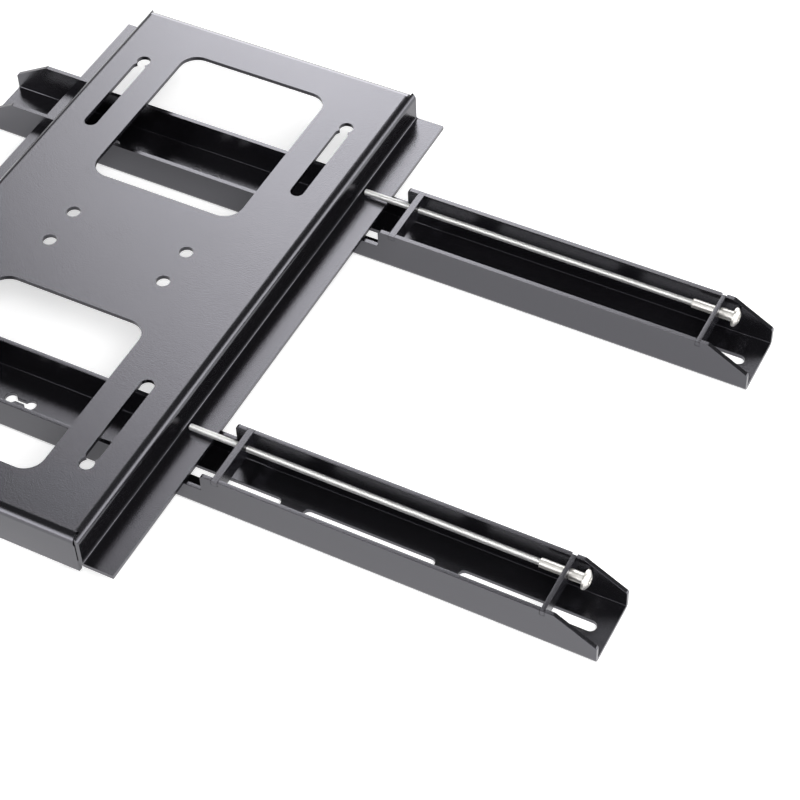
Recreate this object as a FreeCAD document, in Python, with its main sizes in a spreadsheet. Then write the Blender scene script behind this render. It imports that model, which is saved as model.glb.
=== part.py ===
import FreeCAD, Part
import math
import os

import Sketcher

# Heavy-duty flat-screen wall mount, millimetres, +Z towards the wall.
# A folded wall plate lies over two channel-section screen arms. Each arm hangs
# on the plate's upper lip by a hook, rests against the lower lip in an open
# notch, and is locked there by a long screw with a sleeve nut for a head.
# Plate and arms share a local frame whose Y = 0 is the plate's centre line.

DRIVING = [
    # wall plate, one folded sheet
    ("plate_len", "600", "wall plate over its two end flanges"),
    ("plate_t", "4", "gauge of the plate's sheet"),
    ("fold_r", "4", "inner radius of the folds beside the panel"),
    ("lip_r", "2", "inner radius of the folds beside the lips"),
    ("web_span", "298", "over the outer faces of the two webs"),
    ("lip_width", "29", "lip beyond the web's outer face"),
    ("plate_rise", "34.8", "wall face above the lips' underside"),
    ("end_drop", "42.7", "depth of the end flanges from the wall face"),
    ("web_inset", "0.7", "webs and lips end short of the end flanges"),
    ("end_gap", "0.4", "between an end flange's edge and the web"),
    ("relief_w", "1.6", "width of the corner relief cuts"),
    ("bend_lap", "0.5", "flat of the end flanges before their folds"),
    ("relief_len", "0.6", "corner relief cuts beyond that flat"),
    ("leg_step", "1.5", "the end flange widens this far below its fold"),
    ("bridge_half", "73", "half of the bridge between the windows"),
    ("win_end", "43", "window's outer edge to the plate's end"),
    ("rail_w", "71", "rail between a window and the web's face"),
    ("win_r", "18", "corner radius of the windows"),
    ("slot_edge", "37", "wall slot's centre line to the web's face"),
    ("slot_w", "13.2", "width of the wall slots"),
    ("slot_run", "84.8", "straight run of a wall slot"),
    ("key_end", "72.5", "end hole of a wall slot to the plate's end"),
    ("key_step", "10.5", "end hole's centre beyond the slot's last centre"),
    ("key_d", "13.5", "diameter of the slot's end hole"),
    ("hole_d", "13", "diameter of the four centre holes"),
    ("hole_dx", "40", "centre holes' spacing along the plate"),
    ("hole_dy", "120", "centre holes' spacing across the plate"),
    # screen arms, two folded channels
    ("near_x", "155.8", "centre of the near arm from the plate's centre"),
    ("far_x", "163.9", "centre of the far arm from the plate's centre"),
    ("arm_w", "64.5", "width over an arm's walls"),
    ("arm_t", "4", "gauge of an arm's sheet"),
    ("bend_r", "1.2", "inner radius of an arm's bends"),
    ("arm_low", "23.3", "height of an arm's walls under the lips"),
    ("wall_rise", "14.4", "full wall height above the lips' upper face"),
    ("mid_rise", "12.7", "walls between the webs, above the low walls"),
    ("seat_gap", "0.3", "play between a lip and the arm that carries it"),
    ("arm_up", "65.6", "arm beyond the upper lip's edge"),
    ("arm_down", "378.4", "arm beyond the lower lip's edge"),
    ("notch_clear", "16.6", "open notch beyond the lower lip's edge"),
    ("nose_gap", "4", "hook's nose to the web's outer face"),
    ("web_clear", "3", "raised middle walls to the web's inner face"),
    ("ear_r", "3", "radius of the outline's outer corners"),
    ("root_r", "1.5", "radius of the outline's inner corners"),
    ("tip_run", "38", "length of the bevel at an arm's end"),
    ("tip_rise", "20", "wall height at an arm's very end"),
    ("screen_w", "11", "width of the screen slots in an arm's base"),
    ("screen_off", "2.4", "screen slots beside the arm's centre, away from the screw"),
    ("screen_len", "123.5", "length of a screen slot over its round ends"),
    ("screen_bridge", "22", "metal between two screen slots"),
    ("screen_end", "13", "an arm's end to its first screen slot"),
    ("pair_y", "9.5", "centre of the linked pair of screen holes"),
    ("pair_step", "20", "pitch of the linked pair"),
    ("pair_link", "3.6", "width of the slit that links the pair"),
    # cross plates inside each arm
    ("ear_len", "11.1", "notch edge to the threaded cross plate"),
    ("front_t", "6", "gauge of the threaded cross plate"),
    ("end_t", "4", "gauge of the end cross plate"),
    ("cross_h", "17", "height of both cross plates"),
    ("end_inset", "46.2", "end cross plate's outer face to the arm's end"),
    ("ear_h", "5", "depth of the cross plates' ears"),
    ("fit_gap", "0.2", "play round a cross plate set into an arm"),
    ("end_short", "1.8", "the end plate's rear ear stops this far inside the wall's face"),
    # locking screw
    ("screw_edge", "10.25", "screw's axis to the arm's inner wall face"),
    ("screw_rise", "4.9", "screw's axis above the lips' upper face"),
    ("rod_d", "6", "diameter of the locking rod"),
    ("rod_lap", "23", "rod's tip inside the lower lip's edge"),
    ("rod_grip", "24", "length of rod held in the sleeve nut"),
    ("rod_bevel", "0.8", "bevel on the rod's ends"),
    ("run_fit", "0.08", "radial play of the rod in plate and sleeve"),
    ("sleeve_d", "8.6", "diameter of the sleeve"),
    ("sleeve_in", "22.2", "sleeve inside the end plate's inner face"),
    ("neck_d", "9.8", "diameter of the neck under the head"),
    ("neck_len", "12.4", "length of the neck"),
    ("neck_play", "0.4", "radial play of the neck in the end plate"),
    ("head_gap", "12.8", "head's underside to the end plate"),
    ("head_d", "17.5", "diameter of the head"),
    ("head_rim", "2.2", "height of the head's rim"),
    ("head_crown", "2.6", "height of the head's crown above its rim"),
    ("bore_spare", "6", "bore beyond the rod's end in the sleeve"),
    ("cross_len", "8", "span of the head's cross recess"),
    ("cross_w", "1.9", "width of the cross recess's arms"),
    ("cross_deep", "3", "depth of the cross recess"),
]

DERIVED = [
    ("half_len", "Dims.plate_len / 2"),
    ("web_out", "Dims.web_span / 2"),
    ("web_in", "web_out - Dims.plate_t"),
    ("lip_out", "web_out + Dims.lip_width"),
    ("lip_low", "Dims.arm_low + Dims.seat_gap"),
    ("lip_top", "lip_low + Dims.plate_t"),
    ("face_z", "lip_low + Dims.plate_rise"),
    ("panel_low", "face_z - Dims.plate_t"),
    ("fold_out", "Dims.fold_r + Dims.plate_t"),
    ("lip_fold", "Dims.lip_r + Dims.plate_t"),
    ("web_half", "half_len - Dims.web_inset"),
    ("web_len", "2 * web_half"),
    ("leg_in", "half_len - Dims.plate_t"),
    ("trim_x", "half_len - fold_out - Dims.bend_lap"),
    ("relief_x", "trim_x - Dims.relief_len"),
    ("relief_y", "web_in - Dims.relief_w"),
    ("bend_width", "2 * relief_y"),
    ("leg_width", "2 * (web_in - Dims.end_gap)"),
    ("leg_low", "face_z - Dims.end_drop"),
    ("leg_top", "face_z - fold_out - Dims.leg_step"),
    ("win_out", "half_len - Dims.win_end"),
    ("win_y", "web_out - Dims.rail_w"),
    ("slot_y", "web_out - Dims.slot_edge"),
    ("slot_r", "Dims.slot_w / 2"),
    ("key_x", "half_len - Dims.key_end"),
    ("key_r", "Dims.key_d / 2"),
    ("slot_x2", "key_x - Dims.key_step"),
    ("slot_x1", "slot_x2 - Dims.slot_run"),
    ("hole_x", "Dims.hole_dx / 2"),
    ("hole_y", "Dims.hole_dy / 2"),
    ("hole_r", "Dims.hole_d / 2"),
    ("arm_half", "Dims.arm_w / 2"),
    ("arm_in", "arm_half - Dims.arm_t"),
    ("bend_out", "Dims.bend_r + Dims.arm_t"),
    ("wall_h", "lip_top + Dims.wall_rise"),
    ("mid_h", "Dims.arm_low + Dims.mid_rise"),
    ("nose_low", "lip_top + Dims.seat_gap"),
    ("hook_root", "lip_out + Dims.seat_gap"),
    ("nose_y", "web_out + Dims.nose_gap"),
    ("mid_y", "web_in - Dims.web_clear"),
    ("notch_y", "lip_out + Dims.notch_clear"),
    ("top_y", "lip_out + Dims.arm_up"),
    ("tip_y", "lip_out + Dims.arm_down"),
    ("arm_len", "top_y + tip_y"),
    ("plate_y", "(tip_y - top_y) / 2"),
    ("bevel_tip", "tip_y - Dims.tip_run"),
    ("bevel_top", "top_y - Dims.tip_run"),
    ("screen_r", "Dims.screen_w / 2"),
    ("screen_a1", "tip_y - Dims.screen_end - screen_r"),
    ("screen_a2", "screen_a1 - Dims.screen_len + Dims.screen_w"),
    ("screen_b1", "top_y - Dims.screen_end - screen_r"),
    ("screen_b2", "screen_b1 - Dims.screen_len + Dims.screen_w"),
    ("screen_reach", "2 * (Dims.screen_len + Dims.screen_bridge)"),
    ("pair_1", "Dims.pair_y - Dims.pair_step / 2"),
    ("pair_2", "Dims.pair_y + Dims.pair_step / 2"),
    ("link_near", "Dims.screen_off - Dims.pair_link / 2"),
    ("link_far", "Dims.screen_off + Dims.pair_link / 2"),
    ("front_y", "notch_y + Dims.ear_len"),
    ("front_back", "front_y + Dims.front_t"),
    ("end_back", "tip_y - Dims.end_inset"),
    ("end_y", "end_back - Dims.end_t"),
    ("ear_z", "wall_h - Dims.ear_h"),
    ("ear_floor", "ear_z - Dims.fit_gap"),
    ("front_n1", "front_y - Dims.fit_gap"),
    ("front_n2", "front_back + Dims.fit_gap"),
    ("end_n1", "end_y - Dims.fit_gap"),
    ("end_n2", "end_back + Dims.fit_gap"),
    ("cross_x", "arm_in - Dims.fit_gap"),
    ("cross_low", "wall_h - Dims.cross_h"),
    ("end_rear", "arm_half - Dims.end_short"),
    ("screw_x", "arm_in - Dims.screw_edge"),
    ("screw_z", "lip_top + Dims.screw_rise"),
    ("rod_r", "Dims.rod_d / 2"),
    ("bore_r", "rod_r + Dims.run_fit"),
    ("rod_tip", "lip_out - Dims.rod_lap"),
    ("sleeve_y", "end_y - Dims.sleeve_in"),
    ("rod_end", "sleeve_y + Dims.rod_grip"),
    ("rod_len", "rod_end - rod_tip"),
    ("bore_end", "rod_end + Dims.bore_spare"),
    ("sleeve_r", "Dims.sleeve_d / 2"),
    ("neck_r", "Dims.neck_d / 2"),
    ("guide_r", "neck_r + Dims.neck_play"),
    ("head_y", "end_back + Dims.head_gap"),
    ("neck_y", "head_y - Dims.neck_len"),
    ("head_r", "Dims.head_d / 2"),
    ("rim_y", "head_y + Dims.head_rim"),
    ("crown_y", "rim_y + Dims.head_crown"),
    ("cross_half", "Dims.cross_len / 2"),
    ("cross_arm", "Dims.cross_w / 2"),
]

ARMS = [("near", "-near_x"), ("far", "far_x")]
RECESS_TAPER = -9.0
TOLERANCE = 1e-4

doc = FreeCAD.newDocument("ScreenWallMount")
dims = doc.addObject("Spreadsheet::Sheet", "Dims")
calc = doc.addObject("Spreadsheet::Sheet", "Calc")
for row, (alias, value, note) in enumerate(DRIVING, start=1):
    dims.set("A%d" % row, alias)
    dims.set("B%d" % row, value)
    dims.set("C%d" % row, note)
    dims.setAlias("B%d" % row, alias)
doc.recompute()
for row, (alias, formula) in enumerate(DERIVED, start=1):
    calc.set("A%d" % row, alias)
    calc.setAlias("B%d" % row, alias)
    calc.set("B%d" % row, "=" + formula)
doc.recompute()

DRIVING_NAMES = {alias for alias, value, note in DRIVING}


def split(token):
    """Splits a signed sheet name into its sign and its name."""
    if token.startswith("-"):
        return -1.0, token[1:]
    return 1.0, token


def number(token):
    """The present value of a signed sheet name."""
    if token == "0":
        return 0.0
    sign, name = split(token)
    sheet = dims if name in DRIVING_NAMES else calc
    return sign * float(getattr(sheet, name))


def formula_of(token):
    """The expression that binds a property to a signed sheet name."""
    sign, name = split(token)
    owner = "Dims." if name in DRIVING_NAMES else "Calc."
    return ("-" if sign < 0 else "") + owner + name


def flip(token):
    """The same sheet name with its sign turned round."""
    if token == "0":
        return token
    return token[1:] if token.startswith("-") else "-" + token


def origin_plane(body, role):
    """The body's own origin plane with this role."""
    for feature in body.Origin.OriginFeatures:
        if feature.Role == role:
            return feature
    raise LookupError(role)


def new_body(label, x="0", y="0"):
    """An empty body placed in the part by two sheet names."""
    body = doc.addObject("PartDesign::Body", label)
    body.Label = label
    if x != "0":
        body.setExpression(".Placement.Base.x", formula_of(x))
    if y != "0":
        body.setExpression(".Placement.Base.y", formula_of(y))
    return body


def new_sketch(body, name, role, offset="0"):
    """A sketch on one of the body's origin planes, moved along its normal."""
    sketch = body.newObject("Sketcher::SketchObject", name)
    sketch.AttachmentSupport = (origin_plane(body, role), [""])
    sketch.MapMode = "FlatFace"
    if offset != "0":
        sketch.setExpression("AttachmentOffset.Base.z", formula_of(offset))
    return sketch


def bind(sketch, kind, geometry, token):
    """One dimension from a constraint kind, its geometry and a sheet name."""
    index = sketch.addConstraint(Sketcher.Constraint(kind, *geometry, number(token)))
    sketch.setExpression("Constraints[%d]" % index, formula_of(token))


def pin(sketch, item, end, x, y):
    """Places one point of a sketch by two signed sheet names."""
    if x == "0":
        sketch.addConstraint(Sketcher.Constraint("PointOnObject", item, end, -2))
    else:
        bind(sketch, "DistanceX", (-1, 1, item, end), x)
    if y == "0":
        sketch.addConstraint(Sketcher.Constraint("PointOnObject", item, end, -1))
    else:
        bind(sketch, "DistanceY", (-1, 1, item, end), y)


def polygon(sketch, corners):
    """A closed run of straight lines through named corners."""
    places = [FreeCAD.Vector(number(x), number(y), 0) for x, y in corners]
    count = len(places)
    first = sketch.GeometryCount
    for i in range(count):
        sketch.addGeometry(Part.LineSegment(places[i], places[(i + 1) % count]), False)
    for i in range(count):
        after = first + (i + 1) % count
        sketch.addConstraint(Sketcher.Constraint("Coincident", first + i, 2, after, 1))
    for i, (x, y) in enumerate(corners):
        pin(sketch, first + i, 1, x, y)


def box(sketch, x1, x2, y1, y2):
    """A rectangle between four named sides."""
    polygon(sketch, [(x1, y1), (x2, y1), (x2, y2), (x1, y2)])


def circle(sketch, x, y, radius):
    """A circle with a named centre and radius."""
    centre = FreeCAD.Vector(number(x), number(y), 0)
    item = sketch.addGeometry(Part.Circle(centre, FreeCAD.Vector(0, 0, 1), number(radius)), False)
    pin(sketch, item, 3, x, y)
    bind(sketch, "Radius", (item,), radius)


def slot(sketch, start, end, radius):
    """A slot with half-round ends between two named centres."""
    a = FreeCAD.Vector(number(start[0]), number(start[1]), 0)
    b = FreeCAD.Vector(number(end[0]), number(end[1]), 0)
    r = number(radius)
    along = (b - a).normalize()
    side = FreeCAD.Vector(-along.y, along.x, 0) * r
    heading = math.atan2(along.y, along.x)
    up = FreeCAD.Vector(0, 0, 1)
    near = sketch.addGeometry(
        Part.ArcOfCircle(Part.Circle(a, up, r), heading + math.pi / 2, heading + 3 * math.pi / 2), False)
    low = sketch.addGeometry(Part.LineSegment(a - side, b - side), False)
    far = sketch.addGeometry(
        Part.ArcOfCircle(Part.Circle(b, up, r), heading - math.pi / 2, heading + math.pi / 2), False)
    high = sketch.addGeometry(Part.LineSegment(b + side, a + side), False)
    pin(sketch, near, 3, *start)
    pin(sketch, far, 3, *end)
    bind(sketch, "Radius", (near,), radius)
    sketch.addConstraint(Sketcher.Constraint("Equal", near, far))
    sketch.addConstraint(Sketcher.Constraint("Tangent", near, 2, low, 1))
    sketch.addConstraint(Sketcher.Constraint("Tangent", low, 2, far, 1))
    sketch.addConstraint(Sketcher.Constraint("Tangent", far, 2, high, 1))
    sketch.addConstraint(Sketcher.Constraint("Tangent", high, 2, near, 1))


def pad(body, sketch, name, length, both_ways=False):
    """Adds a sketch's area over a named length."""
    feature = body.newObject("PartDesign::Pad", name)
    feature.Profile = sketch
    feature.setExpression("Length", formula_of(length))
    feature.Midplane = both_ways
    feature.Refine = True
    doc.recompute()
    return feature


def pocket(body, sketch, name):
    """Cuts a sketch's area right through, to both sides."""
    before = body.Shape.Volume
    feature = body.newObject("PartDesign::Pocket", name)
    feature.Profile = sketch
    feature.Type = "ThroughAll"
    feature.Midplane = True
    feature.Refine = True
    doc.recompute()
    if not body.Shape.Volume < before - TOLERANCE:
        raise RuntimeError(name + " removes nothing")
    return feature


def edges_along(feature, axis, places):
    """Names of the straight edges along an axis that pass through named places."""
    others = [k for k in range(3) if k != axis]
    wanted = [(number(u), number(v)) for u, v in places]
    found = []
    for index, edge in enumerate(feature.Shape.Edges, start=1):
        if not isinstance(edge.Curve, Part.Line):
            continue
        if abs(abs(edge.Curve.Direction[axis]) - 1) > TOLERANCE:
            continue
        here = edge.CenterOfMass
        for u, v in wanted:
            if abs(here[others[0]] - u) < TOLERANCE and abs(here[others[1]] - v) < TOLERANCE:
                found.append("Edge%d" % index)
    return found


def fillet(body, name, axis, places, radius):
    """Rounds the edges along an axis at named places."""
    base = body.Tip
    names = edges_along(base, axis, places)
    if not names:
        raise RuntimeError(name + " finds no edge")
    feature = body.newObject("PartDesign::Fillet", name)
    feature.Base = (base, names)
    feature.setExpression("Radius", formula_of(radius))
    doc.recompute()
    return feature


def both(x, y):
    """A place and its mirror image across the first axis."""
    return [(x, y), (flip(x), y)]


def four(x, y):
    """A place in all four quarters."""
    return [(x, y), (flip(x), y), (x, flip(y)), (flip(x), flip(y))]


def revolve(body, sketch, name):
    """Turns a half profile a full turn about the sketch's upright axis."""
    feature = body.newObject("PartDesign::Revolution", name)
    feature.Profile = sketch
    feature.ReferenceAxis = (sketch, ["V_Axis"])
    feature.Angle = 360
    feature.Refine = True
    doc.recompute()
    return feature


def make_wall_plate():
    """The folded plate: a hat section with lips, end flanges, windows and slots."""
    body = new_body("wall_plate", y="plate_y")

    section = new_sketch(body, "HatSection", "YZ_Plane")
    polygon(section, [
        ("-lip_out", "lip_low"), ("-web_in", "lip_low"), ("-web_in", "panel_low"),
        ("web_in", "panel_low"), ("web_in", "lip_low"), ("lip_out", "lip_low"),
        ("lip_out", "lip_top"), ("web_out", "lip_top"), ("web_out", "face_z"),
        ("-web_out", "face_z"), ("-web_out", "lip_top"), ("-lip_out", "lip_top")])
    pad(body, section, "Hat", "web_len", both_ways=True)
    fillet(body, "OuterFolds", 0, both("web_out", "face_z"), "fold_out")
    fillet(body, "InnerFolds", 0, both("web_in", "panel_low"), "fold_r")
    fillet(body, "OuterLipFolds", 0, both("web_in", "lip_low"), "lip_fold")
    fillet(body, "InnerLipFolds", 0, both("web_out", "lip_top"), "lip_r")

    # the panel stops between the webs where the end flanges fold down, with a
    # narrow relief beside each corner
    trim = new_sketch(body, "EndTrim", "XY_Plane")
    for side in ("", "-"):
        end_x = side + "half_len"
        trim_x = side + "trim_x"
        relief_x = side + "relief_x"
        polygon(trim, [
            (end_x, "web_in"), (relief_x, "web_in"), (relief_x, "relief_y"),
            (trim_x, "relief_y"), (trim_x, "-relief_y"), (relief_x, "-relief_y"),
            (relief_x, "-web_in"), (end_x, "-web_in")])
    pocket(body, trim, "EndCut")

    bends = new_sketch(body, "EndBendSection", "XZ_Plane")
    legs = new_sketch(body, "EndLegSection", "XZ_Plane")
    for side in ("", "-"):
        polygon(bends, [
            (side + "trim_x", "face_z"), (side + "half_len", "face_z"),
            (side + "half_len", "leg_low"), (side + "leg_in", "leg_low"),
            (side + "leg_in", "panel_low"), (side + "trim_x", "panel_low")])
        box(legs, side + "leg_in", side + "half_len", "leg_low", "leg_top")
    pad(body, bends, "EndBends", "bend_width", both_ways=True)
    fillet(body, "EndOuterFolds", 1, both("half_len", "face_z"), "fold_out")
    fillet(body, "EndInnerFolds", 1, both("leg_in", "panel_low"), "fold_r")
    pad(body, legs, "EndLegs", "leg_width", both_ways=True)

    windows = new_sketch(body, "WindowOutlines", "XY_Plane")
    box(windows, "bridge_half", "win_out", "-win_y", "win_y")
    box(windows, "-win_out", "-bridge_half", "-win_y", "win_y")
    pocket(body, windows, "Windows")
    corners = four("bridge_half", "win_y") + four("win_out", "win_y")
    fillet(body, "WindowCorners", 2, corners, "win_r")

    slots = new_sketch(body, "WallSlotOutlines", "XY_Plane")
    keys = new_sketch(body, "SlotEndHoles", "XY_Plane")
    holes = new_sketch(body, "CentreHoleOutlines", "XY_Plane")
    for side in ("", "-"):
        for row in ("", "-"):
            y = row + "slot_y"
            slot(slots, (side + "slot_x1", y), (side + "slot_x2", y), "slot_r")
            circle(keys, side + "key_x", y, "key_r")
            circle(holes, side + "hole_x", row + "hole_y", "hole_r")
    pocket(body, slots, "WallSlots")
    pocket(body, keys, "SlotEnds")
    pocket(body, holes, "CentreHoles")
    return body


def make_channel(side, place):
    """One screen arm: a U channel with shaped walls and a slotted base."""
    body = new_body(side + "_arm_channel", x=place, y="plate_y")

    section = new_sketch(body, side + "ChannelSection", "XZ_Plane", offset="-top_y")
    polygon(section, [
        ("-arm_half", "0"), ("arm_half", "0"), ("arm_half", "wall_h"), ("arm_in", "wall_h"),
        ("arm_in", "arm_t"), ("-arm_in", "arm_t"), ("-arm_in", "wall_h"), ("-arm_half", "wall_h")])
    pad(body, section, side + "Channel", "arm_len")
    fillet(body, side + "OuterBends", 1, both("arm_half", "0"), "bend_out")
    fillet(body, side + "InnerBends", 1, both("arm_in", "arm_t"), "bend_r")

    # what is cut from both walls: the open notch for the lower lip, the lower
    # middle run, the hook's throat for the upper lip, and a bevel at each end
    walls = new_sketch(body, side + "WallOutline", "YZ_Plane")
    polygon(walls, [
        ("-notch_y", "face_z"), ("-notch_y", "arm_low"), ("-mid_y", "arm_low"),
        ("-mid_y", "mid_h"), ("mid_y", "mid_h"), ("mid_y", "arm_low"),
        ("hook_root", "arm_low"), ("hook_root", "nose_low"), ("nose_y", "nose_low"),
        ("nose_y", "face_z")])
    polygon(walls, [("-bevel_tip", "wall_h"), ("-tip_y", "face_z"), ("-tip_y", "tip_rise")])
    polygon(walls, [("bevel_top", "wall_h"), ("top_y", "face_z"), ("top_y", "tip_rise")])
    pocket(body, walls, side + "WallCut")
    fillet(body, side + "WallCorners", 0,
           [("-notch_y", "wall_h"), ("-bevel_tip", "wall_h"), ("-tip_y", "tip_rise"),
            ("bevel_top", "wall_h"), ("top_y", "tip_rise"), ("nose_y", "wall_h"),
            ("-mid_y", "mid_h"), ("mid_y", "mid_h")], "ear_r")
    fillet(body, side + "WallRoots", 0,
           [("-notch_y", "arm_low"), ("-mid_y", "arm_low"), ("mid_y", "arm_low"),
            ("nose_y", "nose_low")], "root_r")

    notches = new_sketch(body, side + "EarNotchOutlines", "YZ_Plane")
    box(notches, "-front_n2", "-front_n1", "ear_floor", "face_z")
    box(notches, "-end_n2", "-end_n1", "ear_floor", "face_z")
    pocket(body, notches, side + "EarNotches")

    first = new_sketch(body, side + "ScreenSlotOutline", "XY_Plane")
    slot(first, ("-screen_off", "-screen_a1"), ("-screen_off", "-screen_a2"), "screen_r")
    first_cut = pocket(body, first, side + "ScreenSlot")
    row = body.newObject("PartDesign::LinearPattern", side + "ScreenSlots")
    row.Originals = [first_cut]
    row.Direction = (first, ["V_Axis"])
    row.Occurrences = 3
    row.setExpression("Length", formula_of("screen_reach"))
    row.Refine = True
    body.Tip = row
    doc.recompute()

    upper = new_sketch(body, side + "UpperOpenings", "XY_Plane")
    slot(upper, ("-screen_off", "screen_b2"), ("-screen_off", "screen_b1"), "screen_r")
    circle(upper, "-screen_off", "pair_1", "screen_r")
    circle(upper, "-screen_off", "pair_2", "screen_r")
    pocket(body, upper, side + "UpperSlotAndPair")
    link = new_sketch(body, side + "PairLinkOutline", "XY_Plane")
    box(link, "-link_far", "-link_near", "pair_1", "pair_2")
    pocket(body, link, side + "PairLink")
    return body


def make_cross_plate(label, place, offset, gauge, rear, hole):
    """A bar across the top of the channel with two ears let into the walls."""
    body = new_body(label, x=place, y="plate_y")
    outline = new_sketch(body, label + "Outline", "XZ_Plane", offset=offset)
    polygon(outline, [
        ("-cross_x", "cross_low"), ("cross_x", "cross_low"), ("cross_x", "ear_z"),
        (rear, "ear_z"), (rear, "wall_h"), ("-arm_half", "wall_h"), ("-arm_half", "ear_z"),
        ("-cross_x", "ear_z")])
    circle(outline, "screw_x", "screw_z", hole)
    pad(body, outline, label + "Sheet", gauge)
    return body


def make_rod(side, place):
    """The locking rod, bevelled at both ends, lying along the arm."""
    label = side + "_locking_rod"
    body = new_body(label, x=place, y="plate_y")
    end = new_sketch(body, label + "End", "XZ_Plane", offset="rod_tip")
    circle(end, "screw_x", "screw_z", "rod_r")
    rod = pad(body, end, label + "Bar", "rod_len")
    rims = [
        "Edge%d" % index
        for index, edge in enumerate(rod.Shape.Edges, start=1)
        if isinstance(edge.Curve, Part.Circle)]
    bevel = body.newObject("PartDesign::Chamfer", label + "Bevels")
    bevel.Base = (rod, rims)
    bevel.setExpression("Size", formula_of("rod_bevel"))
    doc.recompute()
    return body


def make_sleeve_nut(side, place):
    """The sleeve nut: a long bored sleeve, a neck and a crowned cross-recess head."""
    label = side + "_sleeve_nut"
    body = new_body(label, x=place, y="plate_y")
    half = new_sketch(body, label + "HalfSection", "XY_Plane")
    half.setExpression("AttachmentOffset.Base.x", formula_of("screw_x"))
    half.setExpression("AttachmentOffset.Base.z", formula_of("screw_z"))
    polygon(half, [
        ("bore_r", "-sleeve_y"), ("sleeve_r", "-sleeve_y"), ("sleeve_r", "-neck_y"),
        ("neck_r", "-neck_y"), ("neck_r", "-head_y"), ("head_r", "-head_y"),
        ("head_r", "-rim_y"), ("neck_r", "-crown_y"), ("0", "-crown_y"),
        ("0", "-bore_end"), ("bore_r", "-bore_end")])
    revolve(body, half, label + "Turned")

    cross = new_sketch(body, label + "CrossRecess", "XZ_Plane", offset="crown_y")
    cross.setExpression("AttachmentOffset.Base.x", formula_of("screw_x"))
    cross.setExpression("AttachmentOffset.Base.y", formula_of("screw_z"))
    polygon(cross, [
        ("cross_half", "-cross_arm"), ("cross_half", "cross_arm"), ("cross_arm", "cross_arm"),
        ("cross_arm", "cross_half"), ("-cross_arm", "cross_half"), ("-cross_arm", "cross_arm"),
        ("-cross_half", "cross_arm"), ("-cross_half", "-cross_arm"), ("-cross_arm", "-cross_arm"),
        ("-cross_arm", "-cross_half"), ("cross_arm", "-cross_half"), ("cross_arm", "-cross_arm")])
    before = body.Shape.Volume
    recess = body.newObject("PartDesign::Pocket", label + "Recess")
    recess.Profile = cross
    recess.setExpression("Length", formula_of("cross_deep"))
    recess.TaperAngle = RECESS_TAPER
    doc.recompute()
    if not body.Shape.Volume < before - TOLERANCE:
        raise RuntimeError(label + " has no recess")
    return body


bodies = [make_wall_plate()]
for side, place in ARMS:
    bodies.append(make_channel(side, place))
    bodies.append(make_cross_plate(
        side + "_threaded_plate", place, "front_y", "front_t", "arm_half", "bore_r"))
    bodies.append(make_cross_plate(
        side + "_end_plate", place, "end_y", "end_t", "end_rear", "guide_r"))
    bodies.append(make_rod(side, place))
    bodies.append(make_sleeve_nut(side, place))
doc.recompute()

for item in doc.Objects:
    if "Invalid" in item.State or "Error" in item.State:
        raise RuntimeError("%s failed: %s" % (item.Name, item.State))
for body in bodies:
    if body.Shape.isNull() or not body.Shape.isValid():
        raise RuntimeError(body.Label + " has no valid shape")
    if len(body.Shape.Solids) != 1:
        raise RuntimeError("%s has %d solids" % (body.Label, len(body.Shape.Solids)))

os.makedirs("parts", exist_ok=True)
for body in bodies:
    body.Shape.exportStep(os.path.join("parts", body.Label + ".step"))
    bounds = body.Shape.BoundBox
    print("%-22s x %8.2f %8.2f  y %8.2f %8.2f  z %6.2f %6.2f  volume %9.0f" % (
        body.Label, bounds.XMin, bounds.XMax, bounds.YMin, bounds.YMax,
        bounds.ZMin, bounds.ZMax, body.Shape.Volume))
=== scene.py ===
"""Dressed scene of a heavy-duty wall mount for a flat screen.

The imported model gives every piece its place. The folded sheets are shown as
copies with eased edges, the two locking screws as threaded and turned metal.
"""
import logging
import math
from dataclasses import dataclass
from enum import Enum

import bmesh
import bpy
import numpy as np
from mathutils import Matrix, Vector


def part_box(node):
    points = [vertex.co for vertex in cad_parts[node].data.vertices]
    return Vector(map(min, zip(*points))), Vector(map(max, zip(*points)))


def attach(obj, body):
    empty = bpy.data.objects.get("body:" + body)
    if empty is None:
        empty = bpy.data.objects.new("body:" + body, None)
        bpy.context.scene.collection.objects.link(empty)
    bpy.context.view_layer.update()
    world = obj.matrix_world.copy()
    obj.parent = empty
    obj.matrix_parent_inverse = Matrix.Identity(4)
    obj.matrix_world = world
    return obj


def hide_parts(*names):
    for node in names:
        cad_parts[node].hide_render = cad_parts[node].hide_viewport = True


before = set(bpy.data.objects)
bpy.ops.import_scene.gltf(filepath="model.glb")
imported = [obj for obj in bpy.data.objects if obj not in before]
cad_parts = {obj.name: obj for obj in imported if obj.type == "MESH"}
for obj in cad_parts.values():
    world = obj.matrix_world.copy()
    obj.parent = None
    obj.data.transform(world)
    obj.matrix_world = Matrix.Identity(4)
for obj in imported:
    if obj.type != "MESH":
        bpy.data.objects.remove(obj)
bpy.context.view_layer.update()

log = logging.getLogger("wall_mount")
MM = 0.001
FULL_TURN = 2.0 * math.pi
WHITE = (1.0, 1.0, 1.0, 1.0)

# the places of a mix's two colours and of its result
FIRST_COLOUR, SECOND_COLOUR, MIXED_COLOUR = 6, 7, 2


class Arm(Enum):
    """The two screen arms, named by how near the camera they stand."""

    NEAR = "near"
    FAR = "far"


# node trees


def socket(group: bpy.types.NodeTree, name: str, way: str, kind: str, value: float | None = None) -> None:
    """Adds one named socket to a shader node group.

    Args:
        group: The node group.
        name: The socket's name.
        way: INPUT or OUTPUT.
        kind: The socket's type, such as NodeSocketFloat.
        value: The default of an input, where it has one.
    """
    made = group.interface.new_socket(name=name, in_out=way, socket_type=kind)
    if value is not None:
        made.default_value = value


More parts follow.
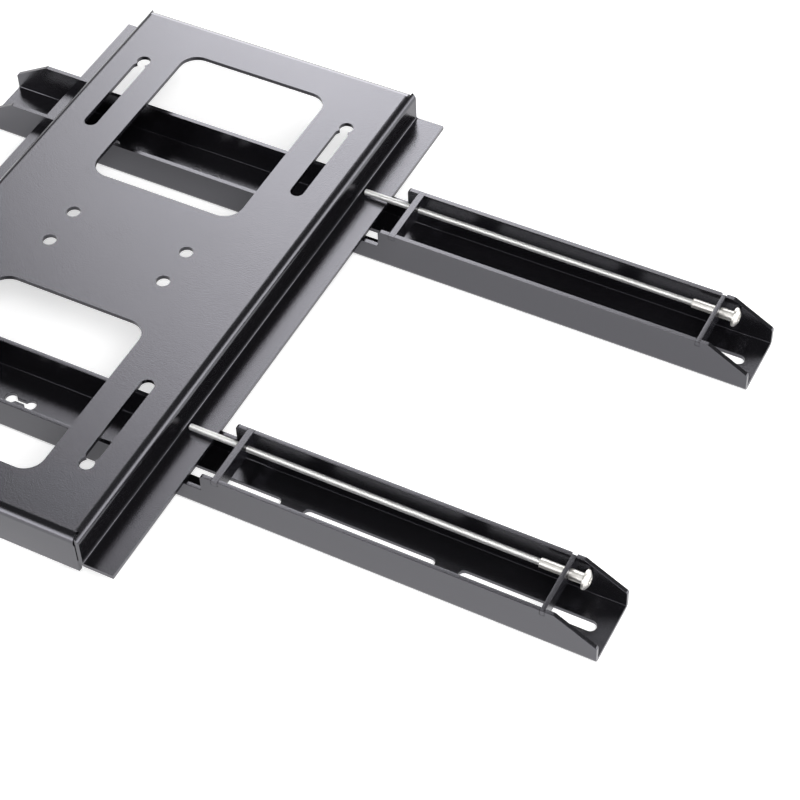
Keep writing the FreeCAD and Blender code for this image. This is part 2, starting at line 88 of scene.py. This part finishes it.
@dataclass
class Graph:
    """A small helper that adds and joins the nodes of one tree."""

    tree: bpy.types.NodeTree

    def add(self, kind: str, **values: object) -> bpy.types.Node:
        """Adds a node.

        Args:
            kind: The node's type.
            **values: Attributes of the node, or defaults of its inputs.

        Returns:
            The new node.
        """
        node = self.tree.nodes.new(kind)
        for name, value in values.items():
            if hasattr(node, name):
                setattr(node, name, value)
            else:
                node.inputs[name.replace("_", " ")].default_value = value
        return node

    def join(self, start: bpy.types.NodeSocket, end: bpy.types.NodeSocket) -> None:
        """Joins an output to an input."""
        self.tree.links.new(start, end)

    def maths(self, operation: str, first: object, second: object = None) -> bpy.types.NodeSocket:
        """Adds a Math node.

        Args:
            operation: The Math node's operation.
            first: A socket or a number for the first input.
            second: A socket or a number for the second input, or None.

        Returns:
            The node's value output.
        """
        node = self.add("ShaderNodeMath", operation=operation)
        for slot, given in zip(node.inputs, (first, second)):
            if isinstance(given, bpy.types.NodeSocket):
                self.join(given, slot)
            elif given is not None:
                slot.default_value = given
        return node.outputs[0]


@dataclass(frozen=True)
class PowderTexture:
    """The cured powder's texture: fine grain over a slow orange peel.

    Scales are in waves per metre, and grit is the share of the fine grain in
    the height.
    """

    grain: float = 2600.0
    peel: float = 900.0
    speck: float = 1500.0
    drift: float = 9.0
    grit: float = 0.25
    speck_from: float = 0.70
    speck_full: float = 0.80

    def build(self) -> bpy.types.NodeTree:
        """Builds the texture's node group.

        Returns:
            The group. Height is the peel's noise plus the grit's share of the
            fine grain, Speck is one in the rare bright points of a third
            noise, and Drift is a slow noise between nought and one.
        """
        group = bpy.data.node_groups.new("powder_grain", "ShaderNodeTree")
        socket(group, "Grain", "INPUT", "NodeSocketFloat", self.grain)
        socket(group, "Peel", "INPUT", "NodeSocketFloat", self.peel)
        for name in ("Height", "Speck", "Drift"):
            socket(group, name, "OUTPUT", "NodeSocketFloat")
        g = Graph(group)
        given = g.add("NodeGroupInput")
        result = g.add("NodeGroupOutput")
        place = g.add("ShaderNodeTexCoord")
        fine = g.add("ShaderNodeTexNoise", Detail=2.0, Roughness=0.6)
        peel = g.add("ShaderNodeTexNoise", Detail=1.0, Roughness=0.5)
        speck = g.add("ShaderNodeTexNoise", Scale=self.speck, Detail=1.0, Roughness=0.7)
        drift = g.add("ShaderNodeTexNoise", Scale=self.drift, Detail=3.0, Roughness=0.55)
        for noise in (fine, peel, speck, drift):
            g.join(place.outputs["Object"], noise.inputs["Vector"])
        g.join(given.outputs["Grain"], fine.inputs["Scale"])
        g.join(given.outputs["Peel"], peel.inputs["Scale"])
        grit = g.maths("MULTIPLY", fine.outputs["Fac"], self.grit)
        g.join(g.maths("ADD", peel.outputs["Fac"], grit), result.inputs["Height"])
        rare = g.add("ShaderNodeMapRange", From_Min=self.speck_from, From_Max=self.speck_full)
        g.join(speck.outputs["Fac"], rare.inputs["Value"])
        g.join(rare.outputs["Result"], result.inputs["Speck"])
        g.join(drift.outputs["Fac"], result.inputs["Drift"])
        return group


@dataclass(frozen=True)
class TurnedRings:
    """The fine rings that a cutting tool leaves across a screw's axis.

    Scales are in waves per metre.
    """

    pitch: float = 900.0
    stain: float = 160.0

    def build(self) -> bpy.types.NodeTree:
        """Builds the rings' node group.

        Returns:
            The group. Height is a wave along the axis broken by a little noise,
            and Stain is a slow noise between nought and one.
        """
        group = bpy.data.node_groups.new("turned_rings", "ShaderNodeTree")
        socket(group, "Pitch", "INPUT", "NodeSocketFloat", self.pitch)
        for name in ("Height", "Stain"):
            socket(group, name, "OUTPUT", "NodeSocketFloat")
        g = Graph(group)
        given = g.add("NodeGroupInput")
        result = g.add("NodeGroupOutput")
        place = g.add("ShaderNodeTexCoord")
        wave = g.add(
            "ShaderNodeTexWave", bands_direction="Y", Distortion=1.2, Detail=2.0, Detail_Scale=4.0)
        stain = g.add("ShaderNodeTexNoise", Scale=self.stain, Detail=4.0, Roughness=0.6)
        for pattern in (wave, stain):
            g.join(place.outputs["Object"], pattern.inputs["Vector"])
        g.join(given.outputs["Pitch"], wave.inputs["Scale"])
        g.join(wave.outputs["Fac"], result.inputs["Height"])
        g.join(stain.outputs["Fac"], result.inputs["Stain"])
        return group


def new_material(name: str) -> tuple[bpy.types.Material, Graph, bpy.types.Node]:
    """Makes a material with a Principled shader.

    Args:
        name: The material's name.

    Returns:
        The material, a helper for its tree and the shader node.
    """
    material = bpy.data.materials.new(name)
    material.use_nodes = True
    return material, Graph(material.node_tree), material.node_tree.nodes["Principled BSDF"]


def ramp(g: Graph, mask: bpy.types.NodeSocket, low: object, high: tuple) -> bpy.types.NodeSocket:
    """Mixes two colours by a mask.

    Args:
        g: The material's tree.
        mask: A value from nought to one.
        low: The colour where the mask is nought, or a socket that gives it.
        high: The colour where the mask is one.

    Returns:
        The mixed colour.
    """
    mix = g.add("ShaderNodeMix", data_type="RGBA")
    g.join(mask, mix.inputs["Factor"])
    if isinstance(low, bpy.types.NodeSocket):
        g.join(low, mix.inputs[FIRST_COLOUR])
    else:
        mix.inputs[FIRST_COLOUR].default_value = (*low, 1.0)
    mix.inputs[SECOND_COLOUR].default_value = (*high, 1.0)
    return mix.outputs[MIXED_COLOUR]


def spread(g: Graph, mask: bpy.types.NodeSocket, low: float, high: float) -> bpy.types.NodeSocket:
    """Maps a mask from nought to one onto a range of numbers.

    Args:
        g: The material's tree.
        mask: The mask.
        low: The result at nought.
        high: The result at one.

    Returns:
        The mapped value.
    """
    node = g.add("ShaderNodeMapRange", To_Min=low, To_Max=high)
    g.join(mask, node.inputs["Value"])
    return node.outputs["Result"]


def bump(
    g: Graph, shader: bpy.types.Node, height: bpy.types.NodeSocket, depth: float, strength: float
) -> None:
    """Feeds a height into a shader's normal.

    Args:
        g: The material's tree.
        shader: The shader whose normal is bent.
        height: The height, in units of depth.
        depth: The height's scale in metres.
        strength: How much of the bump shows.
    """
    node = g.add("ShaderNodeBump", Distance=depth, Strength=strength)
    g.join(height, node.inputs["Height"])
    g.join(node.outputs["Normal"], shader.inputs["Normal"])


@dataclass(frozen=True)
class PowderCoat:
    """Satin black powder coat with a very fine texture."""

    name: str = "black_powder"
    dark: tuple = (0.0024, 0.0023, 0.0028)
    light: tuple = (0.0044, 0.0042, 0.0050)
    dust: tuple = (0.060, 0.060, 0.064)
    tint: tuple = (0.91, 0.90, 1.0, 1.0)
    gloss: float = 0.20
    matt: float = 0.26
    ior: float = 1.9
    depth: float = 0.06 * MM
    strength: float = 1.0

    def build(self, grain: bpy.types.NodeTree) -> bpy.types.Material:
        """Makes the coat.

        Args:
            grain: The powder's texture group.

        Returns:
            The material.
        """
        material, g, shader = new_material(self.name)
        texture = g.add("ShaderNodeGroup", node_tree=grain)
        drift = texture.outputs["Drift"]
        colour = ramp(g, drift, self.dark, self.light)
        dusty = ramp(g, texture.outputs["Speck"], colour, self.dust)
        g.join(dusty, shader.inputs["Base Color"])
        g.join(spread(g, drift, self.gloss, self.matt), shader.inputs["Roughness"])
        shader.inputs["IOR"].default_value = self.ior
        shader.inputs["Specular Tint"].default_value = self.tint
        bump(g, shader, texture.outputs["Height"], self.depth, self.strength)
        return material


@dataclass(frozen=True)
class PlatedMetal:
    """Bright plating on turned or rolled steel."""

    name: str
    dark: tuple
    light: tuple
    gloss: float
    matt: float
    pitch: float
    depth: float
    strength: float = 0.4

    def build(self, rings: bpy.types.NodeTree) -> bpy.types.Material:
        """Makes the plating.

        Args:
            rings: The group of turned rings.

        Returns:
            The material.
        """
        material, g, shader = new_material(self.name)
        texture = g.add("ShaderNodeGroup", node_tree=rings)
        texture.inputs["Pitch"].default_value = self.pitch
        stain = texture.outputs["Stain"]
        g.join(ramp(g, stain, self.dark, self.light), shader.inputs["Base Color"])
        g.join(spread(g, stain, self.gloss, self.matt), shader.inputs["Roughness"])
        shader.inputs["Metallic"].default_value = 1.0
        bump(g, shader, texture.outputs["Height"], self.depth, self.strength)
        return material


BRIGHT_ZINC = PlatedMetal(
    name="bright_zinc", dark=(0.78, 0.78, 0.77), light=(0.90, 0.90, 0.89),
    gloss=0.36, matt=0.48, pitch=700.0, depth=0.02 * MM)
NICKEL = PlatedMetal(
    name="nickel", dark=(0.82, 0.80, 0.76), light=(0.93, 0.91, 0.88),
    gloss=0.38, matt=0.48, pitch=1100.0, depth=0.01 * MM)


@dataclass(frozen=True)
class StudioFloor:
    """White paper that shows as white and keeps the object's shadow.

    From underneath it is clear, so that the part's lower side can be seen.
    """

    name: str = "white_paper"
    albedo: float = 0.80
    lift: float = 0.58
    gleam: float = 0.45

    def build(self) -> bpy.types.Material:
        """Makes the paper: a matt white plus a glow for the eye and for reflections.

        Returns:
            The material.
        """
        material = bpy.data.materials.new(self.name)
        material.use_nodes = True
        g = Graph(material.node_tree)
        material.node_tree.nodes.remove(material.node_tree.nodes["Principled BSDF"])
        paper = g.add("ShaderNodeBsdfDiffuse", Color=(self.albedo, self.albedo, self.albedo, 1.0))
        glow = g.add("ShaderNodeEmission", Color=WHITE)
        path = g.add("ShaderNodeLightPath")
        straight = g.maths("MULTIPLY", path.outputs["Is Camera Ray"], self.lift)
        mirrored = g.maths("MULTIPLY", path.outputs["Is Glossy Ray"], self.gleam)
        g.join(g.maths("ADD", straight, mirrored), glow.inputs["Strength"])
        both = g.add("ShaderNodeAddShader")
        g.join(paper.outputs[0], both.inputs[0])
        g.join(glow.outputs[0], both.inputs[1])
        sides = g.add("ShaderNodeMixShader")
        g.join(g.add("ShaderNodeNewGeometry").outputs["Backfacing"], sides.inputs[0])
        g.join(both.outputs[0], sides.inputs[1])
        g.join(g.add("ShaderNodeBsdfTransparent").outputs[0], sides.inputs[2])
        g.join(sides.outputs[0], material.node_tree.nodes["Material Output"].inputs["Surface"])
        return material


# meshes


def show(mesh: bpy.types.Mesh, name: str, material: bpy.types.Material) -> bpy.types.Object:
    """Puts a mesh into the scene at the origin.

    Args:
        mesh: The mesh, already in its place.
        name: The piece's name.
        material: Its finish.

    Returns:
        The new object.
    """
    mesh.materials.clear()
    mesh.materials.append(material)
    piece = bpy.data.objects.new(name, mesh)
    bpy.context.scene.collection.objects.link(piece)
    return piece


def grid_mesh(name: str, points: np.ndarray) -> bpy.types.Mesh:
    """Makes a closed mesh from a grid of points that closes round its second axis.

    Face i, j joins the points i, j and i, j + 1 with the next ring, the last
    column with the first, and the first and the last ring are one flat face each.

    Args:
        name: The mesh's name.
        points: An array of rings, points in a ring and three coordinates.

    Returns:
        The mesh, smooth-shaded.
    """
    rings, around, _ = points.shape
    row = np.arange(rings - 1)[:, None] * around
    here = np.arange(around)[None, :]
    after = (here + 1) % around
    quads = np.stack([row + here, row + after, row + around + after, row + around + here], axis=-1)
    faces = quads.reshape(-1, 4).tolist()
    faces.append(list(range(around - 1, -1, -1)))
    faces.append(list(range((rings - 1) * around, rings * around)))
    mesh = bpy.data.meshes.new(name)
    mesh.from_pydata(points.reshape(-1, 3), [], faces)
    mesh.shade_smooth()
    mesh.update()
    return mesh


def rounded_profile(corners: np.ndarray, radii: np.ndarray, steps: int) -> np.ndarray:
    """Rounds the inner corners of an open profile.

    Each corner becomes a quadratic curve from one radius before it to one
    radius after it: (1 - t) squared times the start, plus 2 t (1 - t) times the
    corner, plus t squared times the end.

    Args:
        corners: The profile's corners, one row each.
        radii: The rounding at each inner corner.
        steps: Points on each rounding.

    Returns:
        The profile's points.
    """
    before = corners[:-2] - corners[1:-1]
    after = corners[2:] - corners[1:-1]
    before /= np.linalg.norm(before, axis=1, keepdims=True)
    after /= np.linalg.norm(after, axis=1, keepdims=True)
    middle = corners[1:-1]
    start = middle + before * radii[:, None]
    end = middle + after * radii[:, None]
    t = np.linspace(0.0, 1.0, steps)[None, :, None]
    curve = (1 - t) ** 2 * start[:, None] + 2 * t * (1 - t) * middle[:, None] + t**2 * end[:, None]
    return np.concatenate([corners[:1], curve.reshape(-1, corners.shape[1]), corners[-1:]])


@dataclass
class FoldedSheet:
    """One folded and coated sheet, shown as a copy with eased edges."""

    node: str
    body: str
    material: bpy.types.Material
    ease: float = 0.35 * MM
    ease_steps: int = 2
    cut_angle: float = math.radians(28)
    flat_angle: float = math.radians(0.3)
    weld: float = 0.001 * MM

    def build(self) -> bpy.types.Object:
        """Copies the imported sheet, joins its triangles and eases its cut edges.

        Returns:
            The piece.
        """
        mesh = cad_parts[self.node].data.copy()
        solid = bmesh.new()
        solid.from_mesh(mesh)
        bmesh.ops.remove_doubles(solid, verts=solid.verts, dist=self.weld)
        bmesh.ops.dissolve_limit(
            solid, angle_limit=self.flat_angle, verts=solid.verts, edges=solid.edges, delimit={"NORMAL"})
        solid.to_mesh(mesh)
        solid.free()
        mesh.shade_smooth()
        piece = show(mesh, self.node + "_coated", self.material)
        bevel = piece.modifiers.new("eased_edges", "BEVEL")
        bevel.width = self.ease
        bevel.segments = self.ease_steps
        bevel.limit_method = "ANGLE"
        bevel.angle_limit = self.cut_angle
        bevel.harden_normals = True
        bevel.miter_outer = "MITER_ARC"
        weighted = piece.modifiers.new("flat_faces", "WEIGHTED_NORMAL")
        weighted.keep_sharp = False
        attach(piece, self.body)
        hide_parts(self.node)
        return piece


@dataclass
class LockingRod:
    """The threaded rod that draws an arm up to the lower lip."""

    arm: Arm
    material: bpy.types.Material
    pitch: float = 1.0 * MM
    depth: float = 0.61 * MM
    bevel: float = 0.8 * MM
    play: float = 0.02 * MM
    flank: float = 2.6
    crest_share: float = 0.3
    per_turn: int = 18
    per_pitch: int = 6

    def build(self) -> bpy.types.Object:
        """Makes the thread on the rod's own axis and length.

        The radius at a place y along the rod and an angle a round it is the
        crest's radius less the thread's depth times a trapezium wave of
        y / pitch - a / full turn, and it is cut down by the bevel at both ends.
        The wave is the distance from the middle of a turn times the flank's
        slope, less the crest's share, kept between nought and one. The crest
        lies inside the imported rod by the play.

        Returns:
            The piece.
        """
        node = self.arm.value + "_locking_rod"
        low, high = (np.array(corner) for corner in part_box(node))
        centre = (low + high) / 2
        crest = (high[0] - low[0]) / 2 - self.play
        count = int(round((high[1] - low[1]) / self.pitch * self.per_pitch))
        y = np.linspace(low[1], high[1], count + 1)[:, None]
        angle = np.linspace(0.0, FULL_TURN, self.per_turn, endpoint=False)[None, :]
        phase = np.mod(y / self.pitch - angle / FULL_TURN, 1.0)
        wave = np.clip(np.abs(phase - 0.5) * self.flank - self.crest_share, 0.0, 1.0)
        radius = crest - self.depth * wave
        from_end = np.minimum(y - low[1], high[1] - y)
        radius = np.minimum(radius, crest - self.bevel + np.minimum(from_end, self.bevel))
        across = centre[0] + radius * np.sin(angle)
        upward = centre[2] + radius * np.cos(angle)
        points = np.stack(np.broadcast_arrays(across, y, upward), axis=-1)
        piece = show(grid_mesh(node + "_thread", points), node + "_thread", self.material)
        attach(piece, self.arm.value + "_rod")
        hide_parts(node)
        return piece


@dataclass
class SleeveNut:
    """The sleeve nut: a long sleeve, a thicker neck and a crowned head."""

    arm: Arm
    material: bpy.types.Material
    sleeve_r: float = 4.3 * MM
    neck_r: float = 4.9 * MM
    bore_r: float = 3.12 * MM
    bore_len: float = 30.0 * MM
    neck_len: float = 12.4 * MM
    rim: float = 2.2 * MM
    crown: float = 2.6 * MM
    crown_r: float = 4.9 * MM
    roundings: tuple = (
        0.3 * MM, 0.5 * MM, 0.12 * MM, 0.12 * MM, 0.4 * MM, 0.5 * MM, 0.6 * MM, 0.4 * MM)
    rounding_steps: int = 7
    cross_len: float = 8.0 * MM
    cross_w: float = 2.3 * MM
    cross_deep: float = 3.6 * MM
    cross_ease: float = 0.45 * MM
    cross_slope: float = 2.2
    side_play: float = 0.02 * MM
    end_play: float = 0.01 * MM
    face_from: float = 0.9
    face_to: float = 0.03
    face_rings: int = 56
    around: int = 144

    def build(self) -> bpy.types.Object:
        """Turns the nut's half profile about its axis and presses the recess in.

        The profile runs from the middle of the head's face over the head, the
        neck and the sleeve to the floor of the bore, and both ends are closed.
        The recess is a cross of two bars, whose depth fades over its sloping
        sides: the depth at a point of the head is the full depth times the
        larger of the two bars' masks, each the product of two smooth steps.

        Returns:
            The piece.
        """
        node = self.arm.value + "_sleeve_nut"
        low, high = (np.array(corner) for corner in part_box(node))
        axis_x, axis_z = (low[0] + high[0]) / 2, (low[2] + high[2]) / 2
        head_r = (high[0] - low[0]) / 2 - self.side_play
        top = low[1] + self.end_play
        shoulder = top + self.crown
        under = shoulder + self.rim
        neck = under + self.neck_len
        end = high[1] - self.end_play
        corners = np.array([
            [self.bore_r, end - self.bore_len], [self.bore_r, end],
            [self.sleeve_r, end], [self.sleeve_r, neck],
            [self.neck_r, neck], [self.neck_r, under],
            [head_r, under], [head_r, shoulder],
            [self.crown_r, top], [self.face_from * self.crown_r, top]])
        side = rounded_profile(corners, np.array(self.roundings), self.rounding_steps)
        inward = np.linspace(self.face_from, self.face_to, self.face_rings)[1:, None] * self.crown_r
        face = np.concatenate([inward, np.full_like(inward, top)], axis=1)
        profile = np.concatenate([side, face])[::-1]
        angle = np.linspace(0.0, FULL_TURN, self.around, endpoint=False)[None, :]
        across = profile[:, :1] * np.sin(angle)
        upward = profile[:, :1] * np.cos(angle)
        along = np.broadcast_to(profile[:, 1:], across.shape)
        on_top = (profile[:, 1:] < shoulder).astype(float)
        cross = np.maximum(self.bar(across, upward), self.bar(upward, across))
        depth = cross * on_top * self.cross_deep
        points = np.stack([axis_x + across, along + depth, axis_z + upward], axis=-1)
        piece = show(grid_mesh(node + "_turned", points), node + "_turned", self.material)
        weighted = piece.modifiers.new("flat_faces", "WEIGHTED_NORMAL")
        weighted.keep_sharp = False
        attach(piece, self.arm.value + "_nut")
        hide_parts(node)
        return piece

    def bar(self, length: np.ndarray, width: np.ndarray) -> np.ndarray:
        """The mask of one bar of the cross.

        Args:
            length: Distances along the bar.
            width: Distances across the bar.

        Returns:
            One inside the bar, nought outside, with smooth steps between.
        """
        ease = self.cross_ease
        inside = np.clip((self.cross_len / 2 - np.abs(length)) / (self.cross_slope * ease), 0.0, 1.0)
        narrow = np.clip((self.cross_w / 2 + ease / 2 - np.abs(width)) / ease, 0.0, 1.0)
        return inside**2 * (3 - 2 * inside) * narrow**2 * (3 - 2 * narrow)


@dataclass
class WallPlate:
    """The folded, slotted plate that is bolted to the wall."""

    material: bpy.types.Material

    def build(self) -> list[bpy.types.Object]:
        """Builds the plate as one folded sheet."""
        return [FoldedSheet("wall_plate", "plate", self.material).build()]


@dataclass
class ScreenArm:
    """One screen arm: its channel, its two cross plates and its locking screw."""

    arm: Arm
    coat: bpy.types.Material
    zinc: bpy.types.Material
    nickel: bpy.types.Material
    sheets: tuple = ("arm_channel", "threaded_plate", "end_plate")

    def build(self) -> list[bpy.types.Object]:
        """Builds the arm's pieces.

        Returns:
            The pieces, sheets first.
        """
        side = self.arm.value
        body = side + "_arm"
        pieces = [FoldedSheet(side + "_" + sheet, body, self.coat).build() for sheet in self.sheets]
        pieces.append(LockingRod(self.arm, self.zinc).build())
        pieces.append(SleeveNut(self.arm, self.nickel).build())
        return pieces


@dataclass(frozen=True)
class SoftGlow:
    """One soft box of the studio, as a round patch of light far away.

    Its light is full within one angle of its middle and nought outside another,
    in degrees. Its door is two values of a direction's y: nothing passes below
    the first and all of it above the second.
    """

    way: tuple
    full: float
    edge: float
    light: float
    door: tuple = (-3.0, -2.0)


@dataclass(frozen=True)
class Lamp:
    """One square lamp over the mount."""

    name: str
    place: tuple
    target: tuple
    size: float
    power: float

    def build(self) -> None:
        """Hangs the lamp at its place, turned to its target."""
        data = bpy.data.lights.new(self.name, "AREA")
        data.shape = "SQUARE"
        data.size = self.size
        data.energy = self.power
        box = bpy.data.objects.new(self.name, data)
        bpy.context.scene.collection.objects.link(box)
        box.location = self.place
        aim = Vector(self.target) - Vector(self.place)
        box.rotation_euler = aim.to_track_quat("-Z", "Y").to_euler()


@dataclass
class Studio:
    """White paper, a low wall, soft boxes, a lamp and the camera."""

    eye: tuple = (-1.15276, -0.77036, 1.50052)
    right: tuple = (0.45820, -0.88840, -0.02830)
    up: tuple = (0.67825, 0.32889, 0.65712)
    back: tuple = (-0.57448, -0.32028, 0.75325)
    lens: float = 102.2
    sensor: float = 36.0
    far_clip: float = 50.0
    floor_half: float = 6.0
    floor_gap: float = 0.3 * MM
    ceiling: float = 0.10
    wall_low: float = 0.02
    wall_high: float = 0.36
    glows: tuple = (
        SoftGlow((0.70, 0.29, 0.65), 3.0, 20.5, 4.7, (0.22, 0.38)),
        SoftGlow((0.90, 0.30, 0.36), 8.0, 28.0, 5.0),
        SoftGlow((0.50, -0.85, 0.12), 8.0, 24.0, 3.4),
        SoftGlow((-0.88, 0.42, 0.08), 10.0, 36.0, 3.8),
    )
    lamp: Lamp = Lamp("box_over", (-0.87, -1.14, 1.83), (-0.1, -0.15, 0.03), 1.4, 42.0)

    def build(self) -> None:
        """Sets up the floor, the walls, the lamp and the camera."""
        self.floor()
        self.world()
        self.lamp.build()
        self.camera()

    def floor(self) -> None:
        """Lays the paper a hair under the level of the arms' bases."""
        half = self.floor_half
        mesh = bpy.data.meshes.new("paper")
        corners = [(-half, -half), (half, -half), (half, half), (-half, half)]
        mesh.from_pydata([(x, y, -self.floor_gap) for x, y in corners], [], [(0, 1, 2, 3)])
        sheet = show(mesh, "paper", StudioFloor().build())

    def world(self) -> None:
        """Makes a low white wall under a dim ceiling with the soft boxes.

        The strength is the ceiling's, plus the rest up to one times a smooth
        step that falls with the height of the direction, plus each box's times
        a smooth step of the cosine between the direction and the box's middle
        and times its door's smooth step. What looks straight at the walls sees
        them white.
        """
        world = bpy.data.worlds.new("studio_walls")
        bpy.context.scene.world = world
        world.use_nodes = True
        g = Graph(world.node_tree)
        wall = world.node_tree.nodes["Background"]
        wall.inputs["Color"].default_value = WHITE
        place = g.add("ShaderNodeTexCoord")
        height = g.add("ShaderNodeSeparateXYZ")
        g.join(place.outputs["Generated"], height.inputs[0])
        band = self.smooth_step(g, height.outputs["Z"], self.wall_high, self.wall_low)
        lit = g.maths("MULTIPLY", band, 1.0 - self.ceiling)
        for glow in self.glows:
            near = g.add("ShaderNodeVectorMath", operation="DOT_PRODUCT")
            g.join(place.outputs["Generated"], near.inputs[0])
            near.inputs[1].default_value = Vector(glow.way).normalized()
            edge, full = (math.cos(math.radians(angle)) for angle in (glow.edge, glow.full))
            box = self.smooth_step(g, near.outputs["Value"], edge, full)
            door = self.smooth_step(g, height.outputs["Y"], *glow.door)
            shut = g.maths("MULTIPLY", box, door)
            lit = g.maths("ADD", lit, g.maths("MULTIPLY", shut, glow.light))
        eye = g.add("ShaderNodeLightPath").outputs["Is Camera Ray"]
        g.join(g.maths("MAXIMUM", g.maths("ADD", lit, self.ceiling), eye), wall.inputs["Strength"])

    def smooth_step(
        self, g: Graph, value: bpy.types.NodeSocket, low: float, high: float
    ) -> bpy.types.NodeSocket:
        """Adds a smooth step.

        Args:
            g: The world's tree.
            value: What is stepped.
            low: Where the step is nought.
            high: Where it is one.

        Returns:
            The step's output.
        """
        node = g.add("ShaderNodeMapRange", interpolation_type="SMOOTHSTEP", From_Min=low, From_Max=high)
        g.join(value, node.inputs["Value"])
        return node.outputs["Result"]

    def camera(self) -> None:
        """Stands the camera at the photograph's viewpoint."""
        data = bpy.data.cameras.new("eye")
        data.lens = self.lens
        data.sensor_width = self.sensor
        data.clip_end = self.far_clip
        eye = bpy.data.objects.new("eye", data)
        bpy.context.scene.collection.objects.link(eye)
        turn = Matrix((self.right, self.up, self.back)).transposed()
        eye.matrix_world = Matrix.Translation(self.eye) @ turn.to_4x4()
        bpy.context.scene.camera = eye


def main() -> None:
    """Builds the studio and the mount."""
    logging.basicConfig(level=logging.INFO, format="%(name)s: %(message)s")
    bpy.context.scene.view_settings.view_transform = "Standard"
    Studio().build()
    coat = PowderCoat().build(PowderTexture().build())
    rings = TurnedRings().build()
    zinc = BRIGHT_ZINC.build(rings)
    nickel = NICKEL.build(rings)
    pieces = WallPlate(coat).build()
    for arm in Arm:
        pieces += ScreenArm(arm, coat, zinc, nickel).build()
    for piece in pieces:
        log.info("%s: %d faces", piece.name, len(piece.data.polygons))


if __name__ == "__main__":
    main()
